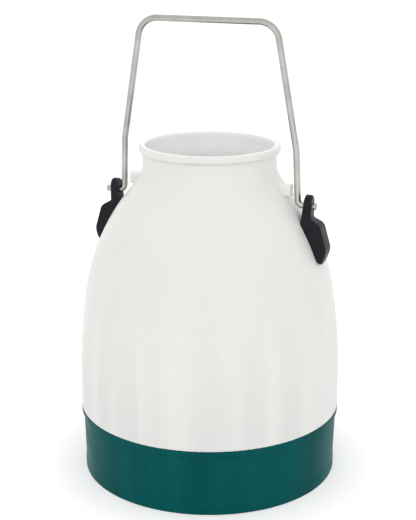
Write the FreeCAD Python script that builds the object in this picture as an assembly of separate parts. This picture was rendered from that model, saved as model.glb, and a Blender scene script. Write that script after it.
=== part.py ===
import FreeCAD, Part
import math
import os

# Plastic milk pail: a translucent blow-moulded shell standing in a green base
# ring, with two black lugs on the shoulder that carry a round-wire bail.
# Millimetres.  +Z is up, the origin is the centre of the ring's foot, and the
# bail turns about an axis parallel to X.

# ---- shell: the outside of the wall, from the base ring up to the rim
RIM_HEIGHT = 422.0
BODY_RADIUS = 166.0
NECK_RADIUS = 83.0
WALL = 3.0
FLOOR = 4.0
SIDE_STRAIGHT = 35.7        # upright wall between the base ring and the belly's curve
BELLY_TO_SHOULDER = 2.835   # radius of the belly's curve over the shoulder's
BELLY_LEAN_SHARE = 0.561    # lean where belly meets shoulder, over the whole slope's lean
CONE_LEAN_SHARE = 2.262     # lean of the cone below the neck, over the whole slope's lean
NECK_ARC = 36.0             # hollow curve between that cone and the neck
NECK_STRAIGHT = 14.0        # upright wall between the hollow curve and the lip
RECESS_STEP = 6.4           # how far the wall steps in to sit in the ring
BASE_CORNER = 9.0
LEDGE_ROUND = 1.2

# ---- rolled lip round the mouth
LIP_HEIGHT = 9.5
LIP_REACH = 4.5             # beyond the neck's wall
LIP_ROUND = 2.8
LIP_UNDERCUT = 2.0

# ---- base ring
RING_HEIGHT = 84.0
RING_TOP_REACH = 0.2        # how far the top edge stands out past the shell
RING_WAIST_INSET = 3.6      # insets are measured inwards from the shell's radius
RING_FOOT_INSET = 3.2
RING_TOP_BAND = 6.5         # upright band under the ring's top edge
RING_FLARE = 54.0           # height of the slow flare below that band
RING_FLARE_REACH = 1.5
RING_FOOT_BEAD = 12.0       # height of the slightly wider foot
RING_FOOT_FLANGE = 20.0     # width of the flange under the shell's base
RING_FOOT_THICKNESS = 4.0
RING_CORNER = 1.5
RING_EDGE_ROUND = 1.0

# ---- lugs: an upright tab with the pivot bore, over a thicker foot that hugs the shell
PIVOT_DROP = 68.0           # rim down to the bail's pivot
TAB_STAND_OFF = 25.9        # shell's wall out to the tab's outer face, at the pivot
TAB_THICKNESS = 8.2         # at its top
TAB_LEAN_IN = 5.0           # how much further in the inner face is where it meets the shell
TAB_WIDTH = 17.5
TAB_CENTRE_RISE = 5.2       # centre of the tab's round top above the pivot
LUG_WIDTH = 24.0
LUG_SHOULDER_DROP = 14.5    # pivot down to where the foot starts to stand out
LUG_SHOULDER_FALL = 6.5
LUG_SHOULDER_STAND_OFF = 24.0   # stand-offs of the foot, measured level from the shell's wall
LUG_ROOT_DROP = 25.0        # pivot down to where the inner face meets the shell
LUG_FOOT_DROP = 53.0        # pivot down to the foot's fullest point
LUG_FOOT_STAND_OFF = 16.9
LUG_DROP = 71.0             # pivot down to the foot's lower end
LUG_END_STAND_OFF = 3.4
LUG_SHOULDER_ROUND = 12.0
LUG_FOOT_ROUND = 18.0
LUG_CORNER_ROUND = 10.0
LUG_EDGE_ROUND = 2.5
LUG_HOLLOW_ROUND = 3.0
BORE_CHAMFER = 0.8

# ---- bail: one length of round wire
WIRE = 8.0
PIVOT_CLEARANCE = 0.1       # radial, wire in bore
BAIL_END_REACH = 6.1        # each end of the wire beyond the tab's outer face
BAIL_LEG_GAP = 3.7          # between a leg and the tab's inner face
BAIL_KINK_INSET = 2.8       # how much further in the kink is than the leg's foot
BAIL_GRIP_INSET = 29.2      # how much further in the grip's corners are
BAIL_KINK_RISE = 67.2
BAIL_RISE = 218.4           # from the pivots up to the grip's centreline
BAIL_LEAN = 1.5             # how far it leans to the front at rest, degrees
BAIL_SLIDE = -1.2           # how far it has slid along its bores
PIVOT_BEND = 7.0            # bend radii of the wire's centreline
KINK_BEND = 40.0
GRIP_BEND = 25.0
WIRE_END_CHAMFER = 0.8

# ---- stops moulded on the shoulder, one inboard of each leg of the bail
STOP_CLEARANCE = 5.0        # from a stop's end face out to the leg
STOP_RISE = 25.0            # pivot up to the stop's top
STOP_WIDTH = 13.0
STOP_HEIGHT = 15.0
STOP_ROUND = 3.0
STOP_END_ROUND = 1.5

UP = FreeCAD.Vector(0, 0, 1)
ORIGIN = FreeCAD.Vector(0, 0, 0)


def point(across, height):
    """A point of the plane y = 0."""
    return FreeCAD.Vector(across, 0, height)


def chain(corners):
    """Edges through corners (across, height, bend radius), bends tangent to both sides."""
    places = [point(across, height) for across, height, _ in corners]
    edges = []
    start = places[0]
    for index in range(1, len(corners) - 1):
        here = places[index]
        before = (places[index - 1] - here).normalize()
        after = (places[index + 1] - here).normalize()
        radius = corners[index][2]
        if radius == 0:
            edges.append(Part.LineSegment(start, here).toShape())
            start = here
            continue
        half = before.getAngle(after) / 2
        setback = radius / math.tan(half)
        enter = here + before * setback
        leave = here + after * setback
        middle = (before + after).normalize()
        crown = here + middle * (radius / math.sin(half) - radius)
        if start.distanceToPoint(enter) > 1e-6:
            edges.append(Part.LineSegment(start, enter).toShape())
        edges.append(Part.Arc(enter, crown, leave).toShape())
        start = leave
    edges.append(Part.LineSegment(start, places[-1]).toShape())
    return edges


def arc(centre, radius, first, last):
    """Arc edge about centre = (across, height) between two angles in radians."""
    def at(angle):
        return point(centre[0] + radius * math.cos(angle), centre[1] + radius * math.sin(angle))
    return Part.Arc(at(first), at((first + last) / 2), at(last)).toShape()


def slope():
    """How the wall closes in from the body to the neck.

    The leans of the belly's end and of the cone follow the lean of the whole
    slope.  The shoulder's radius and the cone's length then come from the two
    conditions that the slope spans the given fall and rise.
    """
    neck_foot = RIM_HEIGHT - LIP_HEIGHT - NECK_STRAIGHT
    belly_foot = RING_HEIGHT + SIDE_STRAIGHT
    fall = BODY_RADIUS - NECK_RADIUS
    rise = neck_foot - belly_foot
    whole = math.atan2(fall, rise)
    belly = BELLY_LEAN_SHARE * whole
    cone = CONE_LEAN_SHARE * whole
    fall -= NECK_ARC * (1 - math.cos(cone))
    rise -= NECK_ARC * math.sin(cone)
    fall_rate = BELLY_TO_SHOULDER * (1 - math.cos(belly)) + math.cos(belly) - math.cos(cone)
    rise_rate = (BELLY_TO_SHOULDER - 1) * math.sin(belly) + math.sin(cone)
    spread = fall_rate * math.cos(cone) - rise_rate * math.sin(cone)
    radius = (fall * math.cos(cone) - rise * math.sin(cone)) / spread
    return belly_foot, neck_foot, belly, cone, radius


def body_curve(depth):
    """The wall's curve a given depth inside its outer face: edges, start and end."""
    belly_foot, neck_foot, belly, cone, shoulder = slope()
    barrel = BELLY_TO_SHOULDER * shoulder
    lower = (BODY_RADIUS - barrel, belly_foot)
    upper = (lower[0] + (barrel - shoulder) * math.cos(belly),
             lower[1] + (barrel - shoulder) * math.sin(belly))
    hollow = (NECK_RADIUS + NECK_ARC, neck_foot)
    curves = [
        arc(lower, barrel - depth, 0, belly),
        arc(upper, shoulder - depth, belly, cone),
        arc(hollow, NECK_ARC + depth, math.pi + cone, math.pi),
    ]
    cone_start = curves[1].valueAt(curves[1].LastParameter)
    cone_end = curves[2].valueAt(curves[2].FirstParameter)
    curves.insert(2, Part.LineSegment(cone_start, cone_end).toShape())
    return curves, (BODY_RADIUS - depth, belly_foot), (NECK_RADIUS - depth, neck_foot)


def wall_radius(height):
    """The shell's outer radius at a height on its slope."""
    level = Part.makeLine(point(0, height), point(BODY_RADIUS, height))
    _, places, _ = Part.Wire(body_curve(0)[0]).distToShape(level)
    return places[0][0].x


# ---- places that follow from the sizes above
PIVOT_HEIGHT = RIM_HEIGHT - PIVOT_DROP
TAB_OUTER = wall_radius(PIVOT_HEIGHT) + TAB_STAND_OFF
TAB_TOP = PIVOT_HEIGHT + TAB_CENTRE_RISE + TAB_WIDTH / 2
TAB_ROOT = PIVOT_HEIGHT - LUG_ROOT_DROP
TAB_LEAN_AT_PIVOT = TAB_LEAN_IN * (TAB_TOP - PIVOT_HEIGHT) / (TAB_TOP - TAB_ROOT)
TAB_INNER_AT_PIVOT = TAB_OUTER - TAB_THICKNESS - TAB_LEAN_AT_PIVOT
BAIL_END = TAB_OUTER + BAIL_END_REACH
BAIL_LEG = TAB_INNER_AT_PIVOT - BAIL_LEG_GAP - WIRE / 2
STOP_END = BAIL_LEG - WIRE / 2 - STOP_CLEARANCE


def revolve(edges):
    """Solid of revolution about Z from the closed outline made by edges."""
    return Part.Face(Part.Wire(edges)).revolve(ORIGIN, UP, 360)


def outer_solid():
    """Everything inside the shell's outer face, mouth closed."""
    seat = BODY_RADIUS - RECESS_STEP
    lip = NECK_RADIUS + LIP_REACH
    curves, foot, neck = body_curve(0)
    lower = chain([
        (0, RING_FOOT_THICKNESS, 0),
        (seat, RING_FOOT_THICKNESS, BASE_CORNER),
        (seat, RING_HEIGHT, 0),
        (foot[0], RING_HEIGHT, LEDGE_ROUND),
        (foot[0], foot[1], 0),
    ])
    upper = chain([
        (neck[0], neck[1], 0),
        (neck[0], RIM_HEIGHT - LIP_HEIGHT, LIP_UNDERCUT),
        (lip, RIM_HEIGHT - LIP_HEIGHT, LIP_ROUND),
        (lip, RIM_HEIGHT, LIP_ROUND),
        (0, RIM_HEIGHT, 0),
        (0, RING_FOOT_THICKNESS, 0),
    ])
    return revolve(lower + curves + upper)


def cavity_solid():
    """The room inside the shell, carried on past the mouth."""
    seat = BODY_RADIUS - RECESS_STEP - WALL
    base = RING_FOOT_THICKNESS + FLOOR
    above = RIM_HEIGHT + 2 * WALL
    curves, foot, neck = body_curve(WALL)
    lower = chain([
        (0, base, 0),
        (seat, base, BASE_CORNER - WALL),
        (seat, RING_HEIGHT + WALL, LEDGE_ROUND),
        (foot[0], RING_HEIGHT + WALL, LEDGE_ROUND + WALL / 2),
        (foot[0], foot[1], 0),
    ])
    upper = chain([
        (neck[0], neck[1], 0),
        (neck[0], above, 0),
        (0, above, 0),
        (0, base, 0),
    ])
    return revolve(lower + curves + upper)


def turned(shape):
    """The same shape on the opposite side of the pail."""
    other = shape.copy()
    other.rotate(ORIGIN, UP, 180)
    return other


def edges_along(shape, direction):
    """Straight edges of a shape that run parallel to a direction."""
    found = []
    for edge in shape.Edges:
        if edge.Curve.TypeId != "Part::GeomLine":
            continue
        if abs(edge.Curve.Direction.dot(direction)) > 0.999:
            found.append(edge)
    return found


def stop():
    """One square stop, from well inside the wall out to its end face."""
    root = NECK_RADIUS - 2 * WALL
    foot = PIVOT_HEIGHT + STOP_RISE - STOP_HEIGHT
    block = Part.makeBox(STOP_END - root, STOP_WIDTH, STOP_HEIGHT,
                         FreeCAD.Vector(root, -STOP_WIDTH / 2, foot))
    block = block.makeFillet(STOP_ROUND, edges_along(block, FreeCAD.Vector(1, 0, 0)))
    rim = [edge for edge in block.Edges if edge.BoundBox.XMin > STOP_END - 1e-3]
    return block.makeFillet(STOP_END_ROUND, rim)


def shell(outer, cavity):
    body = outer.fuse([stop(), turned(stop())]).cut(cavity).removeSplitter()
    mouth = NECK_RADIUS - WALL
    sharp = []
    for edge in body.Edges:
        if edge.Curve.TypeId == "Part::GeomCircle" and abs(edge.Curve.Radius - mouth) < 1e-3:
            if edge.BoundBox.ZMin > RIM_HEIGHT - 1e-3:
                sharp.append(edge)
    return body.makeFillet(WALL / 2, sharp)


def base_ring():
    seat = BODY_RADIUS - RECESS_STEP
    top = BODY_RADIUS + RING_TOP_REACH
    waist = BODY_RADIUS - RING_WAIST_INSET
    foot = BODY_RADIUS - RING_FOOT_INSET
    band_foot = RING_HEIGHT - RING_TOP_BAND
    flare_foot = band_foot - RING_FLARE
    flange = seat - RING_FOOT_FLANGE
    outline = chain([
        (flange, RING_FOOT_THICKNESS, 0),
        (flange, 0, RING_EDGE_ROUND),
        (foot, 0, RING_CORNER),
        (foot, RING_FOOT_BEAD, RING_EDGE_ROUND),
        (waist, RING_FOOT_BEAD + 2 * RING_EDGE_ROUND, RING_EDGE_ROUND),
        (waist, flare_foot, 8 * RING_EDGE_ROUND),
        (waist + RING_FLARE_REACH, band_foot - 1.5 * RING_EDGE_ROUND, RING_EDGE_ROUND),
        (top, band_foot, RING_EDGE_ROUND),
        (top, RING_HEIGHT, RING_EDGE_ROUND),
        (seat, RING_HEIGHT, 0),
        (seat, RING_FOOT_THICKNESS, BASE_CORNER),
        (flange, RING_FOOT_THICKNESS, 0),
    ])
    return revolve(outline)


def lug_side():
    """The lug seen along the pail's side: outline in the plane y = 0."""
    tab_inner = TAB_OUTER - TAB_THICKNESS
    hollow = PIVOT_HEIGHT - LUG_SHOULDER_DROP
    shoulder = hollow - LUG_SHOULDER_FALL
    fullest = PIVOT_HEIGHT - LUG_FOOT_DROP
    end = PIVOT_HEIGHT - LUG_DROP
    return chain([
        (tab_inner - TAB_LEAN_IN, end, 0),
        (tab_inner - TAB_LEAN_IN, TAB_ROOT, 0),
        (tab_inner, TAB_TOP, 0),
        (TAB_OUTER, TAB_TOP, 0),
        (TAB_OUTER, hollow, LUG_HOLLOW_ROUND),
        (wall_radius(shoulder) + LUG_SHOULDER_STAND_OFF, shoulder, LUG_SHOULDER_ROUND),
        (wall_radius(fullest) + LUG_FOOT_STAND_OFF, fullest, LUG_FOOT_ROUND),
        (wall_radius(end) + LUG_END_STAND_OFF, end, 0),
        (tab_inner - TAB_LEAN_IN, end, 0),
    ])


def lug_front():
    """The lug seen from outside the pail: round-topped tab over the wider foot."""
    half_tab = TAB_WIDTH / 2
    half_foot = LUG_WIDTH / 2
    crown = PIVOT_HEIGHT + TAB_CENTRE_RISE
    waist = PIVOT_HEIGHT - LUG_SHOULDER_DROP
    end = PIVOT_HEIGHT - LUG_DROP
    left = chain([
        (-half_tab, crown, 0),
        (-half_tab, waist, LUG_HOLLOW_ROUND),
        (-half_foot, TAB_ROOT, LUG_HOLLOW_ROUND),
        (-half_foot, end, LUG_CORNER_ROUND),
        (0, end, 0),
    ])
    right = chain([
        (0, end, 0),
        (half_foot, end, LUG_CORNER_ROUND),
        (half_foot, TAB_ROOT, LUG_HOLLOW_ROUND),
        (half_tab, waist, LUG_HOLLOW_ROUND),
        (half_tab, crown, 0),
    ])
    return left + right + [arc((0, crown), half_tab, 0, math.pi)]


def faces_outward(edge):
    """True for the rim of the lug's outward faces, which is rounded over."""
    middle = edge.valueAt((edge.FirstParameter + edge.LastParameter) / 2)
    return edge.BoundBox.XMin > TAB_OUTER - 1e-3 and abs(middle.y) > 1e-3


def lug(outer):
    """Lug on the +X side, its side view crossed with its front view, seated on the shell."""
    side = Part.Face(Part.Wire(lug_side()))
    side.translate(FreeCAD.Vector(0, -LUG_WIDTH, 0))
    side = side.extrude(FreeCAD.Vector(0, 2 * LUG_WIDTH, 0))
    front = Part.Face(Part.Wire(lug_front()))
    front.rotate(ORIGIN, UP, 90)
    front = front.extrude(FreeCAD.Vector(2 * TAB_OUTER, 0, 0))
    body = side.common(front)
    body = body.makeFillet(LUG_EDGE_ROUND, [edge for edge in body.Edges if faces_outward(edge)])

    bore_radius = WIRE / 2 + PIVOT_CLEARANCE
    along = FreeCAD.Vector(1, 0, 0)
    bore = Part.makeCylinder(bore_radius, 2 * TAB_OUTER, point(0, PIVOT_HEIGHT), along)
    funnel = Part.makeCone(bore_radius + 2 * BORE_CHAMFER, bore_radius, 2 * BORE_CHAMFER,
                           point(TAB_INNER_AT_PIVOT - BORE_CHAMFER, PIVOT_HEIGHT), along)
    return body.cut([bore, funnel, outer])


def bail():
    top = PIVOT_HEIGHT + BAIL_RISE
    half = [
        (BAIL_END, PIVOT_HEIGHT, 0),
        (BAIL_LEG, PIVOT_HEIGHT, PIVOT_BEND),
        (BAIL_LEG - BAIL_KINK_INSET, PIVOT_HEIGHT + BAIL_KINK_RISE, KINK_BEND),
        (BAIL_LEG - BAIL_GRIP_INSET, top, GRIP_BEND),
    ]
    other = [(-across, height, radius) for across, height, radius in reversed(half)]
    spine = Part.Wire(chain(half + other))
    section = Part.Wire(Part.makeCircle(WIRE / 2, point(BAIL_END, PIVOT_HEIGHT),
                                        FreeCAD.Vector(1, 0, 0)))
    wire = spine.makePipeShell([section], True, False)
    ends = [edge for edge in wire.Edges
            if abs(edge.BoundBox.Center.x) > BAIL_END - 1e-3]
    wire = wire.makeChamfer(WIRE_END_CHAMFER, ends)
    wire.rotate(point(0, PIVOT_HEIGHT), FreeCAD.Vector(1, 0, 0), BAIL_LEAN)
    wire.translate(point(BAIL_SLIDE, 0))
    return wire


outer = outer_solid()
cavity = cavity_solid()
right = lug(outer)
nodes = {
    "shell": shell(outer, cavity),
    "base_ring": base_ring(),
    "lug_right": right,
    "lug_left": turned(right),
    "bail": bail(),
}
os.makedirs("parts", exist_ok=True)
for name, shape in nodes.items():
    shape.exportStep("parts/" + name + ".step")
    print(name, shape.isValid(), len(shape.Solids), round(shape.Volume / 1000, 1), shape.BoundBox)
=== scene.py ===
import bpy
import math
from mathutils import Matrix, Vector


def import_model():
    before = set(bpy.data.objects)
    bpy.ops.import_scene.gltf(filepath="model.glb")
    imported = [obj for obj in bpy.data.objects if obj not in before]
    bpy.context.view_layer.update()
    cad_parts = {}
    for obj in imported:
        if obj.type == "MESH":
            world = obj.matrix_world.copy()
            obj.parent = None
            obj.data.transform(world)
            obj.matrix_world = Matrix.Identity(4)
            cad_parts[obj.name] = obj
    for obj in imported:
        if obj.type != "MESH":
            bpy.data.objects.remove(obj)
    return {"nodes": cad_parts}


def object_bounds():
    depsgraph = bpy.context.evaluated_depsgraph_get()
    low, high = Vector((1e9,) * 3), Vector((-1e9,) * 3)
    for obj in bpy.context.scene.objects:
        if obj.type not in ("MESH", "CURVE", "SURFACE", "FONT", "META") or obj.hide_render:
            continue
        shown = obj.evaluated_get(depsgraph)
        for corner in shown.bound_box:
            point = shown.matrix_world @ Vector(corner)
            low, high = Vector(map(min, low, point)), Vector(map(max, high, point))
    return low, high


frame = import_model()
cad_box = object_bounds()
nodes = frame["nodes"]

# Lengths and heights are in metres, colours are linear red, green and blue.
WHITE = (1, 1, 1)
PLASTIC_IOR = 1.5
NOISE_MIDDLE = (0.3, 0.7)           # most values of a noise lie between these

# The shell's outer skin. Its colour shifts slowly with the height above the floor: low down
# it carries painted light, a green show-through of the ring and pale highlight streaks.
SHELL_DIM = (0.766, 0.760, 0.734)
SHELL_PALE = (0.790, 0.784, 0.757)
SHOW_THROUGH_PAINT = (0.710, 0.730, 0.710)        # painted show-through: the ring's green painted faintly into the wall above it, standing in for the ring seen through the wall
SHOW_THROUGH_PAINT_SHARE = 0.5
SHOW_THROUGH_PAINT_HEIGHTS = (0.088, 0.20)        # full at the first, gone at the second
PAINTED_HIGHLIGHT = (0.85, 0.845, 0.825)       # painted highlight: soft upright pale streaks on the lower belly, standing in for reflections
PAINTED_HIGHLIGHT_SHARE = 0.6
PAINTED_HIGHLIGHT_NOISE = (0.42, 0.62)         # no streak at the first value, a full one at the second
PAINTED_HIGHLIGHT_HEIGHTS = (0.16, 0.30)       # full at the first, gone at the second
OUTER_SCATTER = 0.15                # share of the light that scatters inside the wall

# The shell's inner skin, painted paler than the outer skin and given more scattering, to
# stand in for the light that comes through the wall.
INNER_PAINTED_LIGHT = (0.99, 0.987, 0.968)
INNER_SCATTER = 1.0
FACING_BAND = 0.01                  # half the band in which inner and outer skin blend

# Scattering in both skins: its reach by colour, and the scale of that reach.
SCATTER_REACH = (1, 1, 1)
SCATTER_SCALE = 0.009

RING_DARK = (0.0002, 0.072, 0.071)
RING_LIGHT = (0.0015, 0.094, 0.092)
RING_SPECULAR = 0.04
LUG_DARK = (0.003, 0.004, 0.007)
LUG_LIGHT = (0.007, 0.009, 0.014)
LUG_SPECULAR = 0.2
WIRE_DARK = (0.40, 0.39, 0.365)
WIRE_LIGHT = (0.52, 0.51, 0.48)

FLOOR_SIZE = 40
FLOOR_GREY = (0.8, 0.8, 0.8)
FLOOR_LIFT = 0.30                   # emission where the floor is seen, to show it white
WORLD_LIGHT = 1.04                  # strength of the world's light on the object
WORLD_SEEN = 1.0                    # strength where the world is seen: white

# Azimuths go round the pail in degrees, from 0 at its front (-Y) towards +X.
VIEW = 21.343                       # the side that the photograph shows
# name, azimuth, distance from the axis, height, height aimed at, size, watts
LAMPS = (
    ("left_softbox", VIEW - 20, 2.0, 0.75, 0.25, (0.5, 1.5), 2),
    ("right_softbox", VIEW + 20, 2.0, 0.75, 0.25, (0.5, 1.5), 2),
    ("back_softbox", VIEW + 180, 1.6, 1.4, 0.3, (1.6, 1.2), 2),
)

# The camera, fitted to the pail's outlines in the photograph.
CAMERA_AT = (0.5336, -1.3687, 0.70739)
CAMERA_TURN = math.radians(21.387)
CAMERA_DIP = 0.28820                # radians below level
CAMERA_LENS = 83.75                 # millimetres, as is the sensor's width
CAMERA_SENSOR = 36

# Sockets of Blender's Mix node when it mixes colours.
MIX_FACTOR, MIX_FIRST, MIX_SECOND, MIX_RESULT = 0, 6, 7, 2


# ---------------------------------------------------------------- node helpers
def material(name):
    mat = bpy.data.materials.new(name)
    mat.use_nodes = True
    mat.node_tree.nodes.clear()
    return mat, mat.node_tree


def opaque(colour):
    return (*colour, 1)


def put(tree, socket, value):
    """Set a socket to a value, or link it to the socket that the value is."""
    if isinstance(value, bpy.types.NodeSocket):
        tree.links.new(value, socket)
    else:
        socket.default_value = value


def add(tree, kind, **inputs):
    """A node of a kind, with its inputs put.

    An input goes by its name, with "__" for a space, or by "_" and its number.
    """
    node = tree.nodes.new("ShaderNode" + kind)
    for name, value in inputs.items():
        by_number = name[0] == "_"
        key = int(name[1:]) if by_number else name.replace("__", " ")
        put(tree, node.inputs[key], value)
    return node


def place(tree, stretch=(1, 1, 1)):
    """Position on the object, multiplied along each axis."""
    coords = add(tree, "TexCoord").outputs["Object"]
    return add(tree, "Mapping", Vector=coords, Scale=stretch).outputs[0]


def noise(tree, at, scale, detail):
    return add(tree, "TexNoise", Vector=at, Scale=scale, Detail=detail).outputs["Fac"]


def drawn(tree, stretch, detail):
    """Noise that is fine along the axes with a high stretch and long along the others."""
    return noise(tree, place(tree, stretch), 1, detail)


def ramp(tree, value, *stops):
    """Colour ramp over a value, between two stops of position and colour."""
    node = add(tree, "ValToRGB", Fac=value)
    for element, (position, colour) in zip(node.color_ramp.elements, stops):
        element.position = position
        element.color = opaque(colour)
    return node.outputs["Color"]


def span(tree, value, low, high, first, last, smooth=False):
    """A value's range low to high, carried over to first to last."""
    node = add(tree, "MapRange", Value=value, _1=low, _2=high, _3=first, _4=last)
    node.interpolation_type = "SMOOTHSTEP" if smooth else "LINEAR"
    return node.outputs[0]


def maths(tree, operation, first, second):
    node = add(tree, "Math", _0=first, _1=second)
    node.operation = operation
    return node.outputs[0]


def times(tree, first, second):
    return maths(tree, "MULTIPLY", first, second)


def blend(tree, factor, first, second):
    """Mix by a factor, from a colour's socket to a colour."""
    node = tree.nodes.new("ShaderNodeMix")
    node.data_type = "RGBA"
    put(tree, node.inputs[MIX_FACTOR], factor)
    put(tree, node.inputs[MIX_FIRST], first)
    put(tree, node.inputs[MIX_SECOND], opaque(second))
    return node.outputs[MIX_RESULT]


def output(tree, shader, kind="OutputMaterial"):
    add(tree, kind, Surface=shader.outputs[0])


def skin(tree, colour, roughness, relief, depth, **levels):
    """Surface with a fine relief; its levels go on the shader's own sockets."""
    bump = add(tree, "Bump", Height=relief, Distance=depth)
    output(tree, add(tree, "BsdfPrincipled", Base__Color=colour, Roughness=roughness,
                     Normal=bump.outputs[0], **levels))


# ---------------------------------------------------------------- materials
def facing_axis(tree):
    """1 on faces that look towards the pail's axis, 0 on faces that look away from it."""
    outwards = add(tree, "VectorMath", _0=place(tree, (1, 1, 0)),
                   _1=add(tree, "TexCoord").outputs["Normal"])
    outwards.operation = "DOT_PRODUCT"
    return span(tree, outwards.outputs["Value"], -FACING_BAND, FACING_BAND, 1, 0)


def shell_material():
    mat, tree = material("milky_polyethylene")
    at = place(tree)
    height = add(tree, "SeparateXYZ", Vector=at).outputs["Z"]
    clouds = noise(tree, at, scale=9, detail=3)
    colour = ramp(tree, clouds, (0.3, SHELL_DIM), (0.7, SHELL_PALE))

    # painted show-through: the ring's green painted into the lower wall, fading with height
    low = span(tree, height, *SHOW_THROUGH_PAINT_HEIGHTS, 1, 0, smooth=True)
    colour = blend(tree, times(tree, low, SHOW_THROUGH_PAINT_SHARE), colour, SHOW_THROUGH_PAINT)

    # painted highlight streaks, placed by a noise on the lower belly
    upright = drawn(tree, (26, 26, 1.2), detail=2)
    painted_highlights = times(tree, span(tree, upright, *PAINTED_HIGHLIGHT_NOISE, 0, 1, smooth=True),
                    span(tree, height, *PAINTED_HIGHLIGHT_HEIGHTS, 1, 0, smooth=True))
    colour = blend(tree, times(tree, painted_highlights, PAINTED_HIGHLIGHT_SHARE), colour, PAINTED_HIGHLIGHT)

    inside = facing_axis(tree)
    # painted light: faces looking towards the axis get the paler inner colour
    colour = blend(tree, inside, colour, INNER_PAINTED_LIGHT)
    scatter = span(tree, inside, 0, 1, OUTER_SCATTER, INNER_SCATTER)

    roughness = span(tree, noise(tree, at, scale=14, detail=4), *NOISE_MIDDLE, 0.30, 0.40)
    flow = drawn(tree, (60, 60, 2.5), detail=3)
    grain = noise(tree, at, scale=900, detail=2)
    relief = maths(tree, "ADD", times(tree, flow, 0.5), grain)
    skin(tree, colour, roughness, relief, depth=0.00012, IOR=PLASTIC_IOR,
         Subsurface__Weight=scatter, Subsurface__Radius=SCATTER_REACH,
         Subsurface__Scale=SCATTER_SCALE)
    return mat


def ring_material():
    mat, tree = material("green_plastic")
    at = place(tree)
    bands = drawn(tree, (22, 22, 1.5), detail=3)
    colour = ramp(tree, bands, (0.35, RING_DARK), (0.65, RING_LIGHT))
    roughness = span(tree, noise(tree, at, scale=30, detail=4), *NOISE_MIDDLE, 0.30, 0.42)
    turning = drawn(tree, (3, 3, 900), detail=2)
    grain = noise(tree, at, scale=700, detail=2)
    relief = maths(tree, "ADD", times(tree, turning, 0.4), grain)
    skin(tree, colour, roughness, relief, depth=0.00008, IOR=PLASTIC_IOR,
         Specular__IOR__Level=RING_SPECULAR)
    return mat


def lug_material():
    mat, tree = material("black_plastic")
    at = place(tree)
    clouds = noise(tree, at, scale=60, detail=4)
    colour = ramp(tree, clouds, (0.35, LUG_DARK), (0.7, LUG_LIGHT))
    roughness = span(tree, clouds, *NOISE_MIDDLE, 0.34, 0.5)
    grain = noise(tree, at, scale=1400, detail=2)
    skin(tree, colour, roughness, grain, depth=0.0001, IOR=PLASTIC_IOR,
         Specular__IOR__Level=LUG_SPECULAR)
    return mat


def wire_material():
    mat, tree = material("drawn_stainless_wire")
    patches = noise(tree, place(tree), scale=45, detail=4)
    colour = ramp(tree, patches, (0.3, WIRE_DARK), (0.7, WIRE_LIGHT))
    lines = drawn(tree, (1500, 1500, 12), detail=2)
    roughness = span(tree, lines, *NOISE_MIDDLE, 0.24, 0.38)
    skin(tree, colour, roughness, lines, depth=0.00001, Metallic=1.0)
    return mat


looks = {
    "shell": shell_material(),
    "base_ring": ring_material(),
    "lug_right": lug_material(),
    "bail": wire_material(),
}
looks["lug_left"] = looks["lug_right"]
for name, look in looks.items():
    for slot in nodes[name].material_slots:
        slot.material = look


# ---------------------------------------------------------------- floor, light, camera
def seen(tree):
    """1 for the camera and in reflections, 0 for the light that falls on the object."""
    path = add(tree, "LightPath").outputs
    mirrored = maths(tree, "MAXIMUM", path["Is Glossy Ray"], path["Is Transmission Ray"])
    return maths(tree, "MAXIMUM", path["Is Camera Ray"], mirrored)


def floor():
    mat, tree = material("studio_floor")
    paint = add(tree, "BsdfDiffuse", Color=opaque(FLOOR_GREY))
    lift = add(tree, "Emission", Strength=times(tree, seen(tree), FLOOR_LIFT))
    output(tree, add(tree, "AddShader", _0=paint.outputs[0], _1=lift.outputs[0]))
    bpy.ops.mesh.primitive_plane_add(size=FLOOR_SIZE, location=(0, 0, cad_box[0][2]))
    plane = bpy.context.object
    plane.name = "studio_floor"
    plane.data.materials.append(mat)


def world():
    sky = bpy.data.worlds.new("studio")
    bpy.context.scene.world = sky
    sky.use_nodes = True
    tree = sky.node_tree
    tree.nodes.clear()
    strength = span(tree, seen(tree), 0, 1, WORLD_LIGHT, WORLD_SEEN)
    back = add(tree, "Background", Color=opaque(WHITE), Strength=strength)
    output(tree, back, "OutputWorld")


def lamp(name, azimuth, distance, height, aim, size, watts):
    """Area light round the pail, tipped down to look at the aimed height on its axis."""
    turn = math.radians(azimuth)
    data = bpy.data.lights.new(name, "AREA")
    data.shape = "RECTANGLE"
    data.size, data.size_y = size
    data.energy = watts
    light = bpy.data.objects.new(name, data)
    bpy.context.collection.objects.link(light)
    light.location = (distance * math.sin(turn), -distance * math.cos(turn), height)
    dip = math.atan2(height - aim, distance)
    light.rotation_euler = (math.pi / 2 - dip, 0, turn)


def photo_camera():
    data = bpy.data.cameras.new("camera")
    data.lens = CAMERA_LENS
    data.sensor_width = CAMERA_SENSOR
    data.sensor_fit = "AUTO"
    camera = bpy.data.objects.new("camera", data)
    bpy.context.collection.objects.link(camera)
    camera.location = CAMERA_AT
    camera.rotation_euler = (math.pi / 2 - CAMERA_DIP, 0, CAMERA_TURN)
    bpy.context.scene.camera = camera


floor()
world()
for settings in LAMPS:
    lamp(*settings)
photo_camera()
bpy.context.scene.view_settings.view_transform = "Standard"
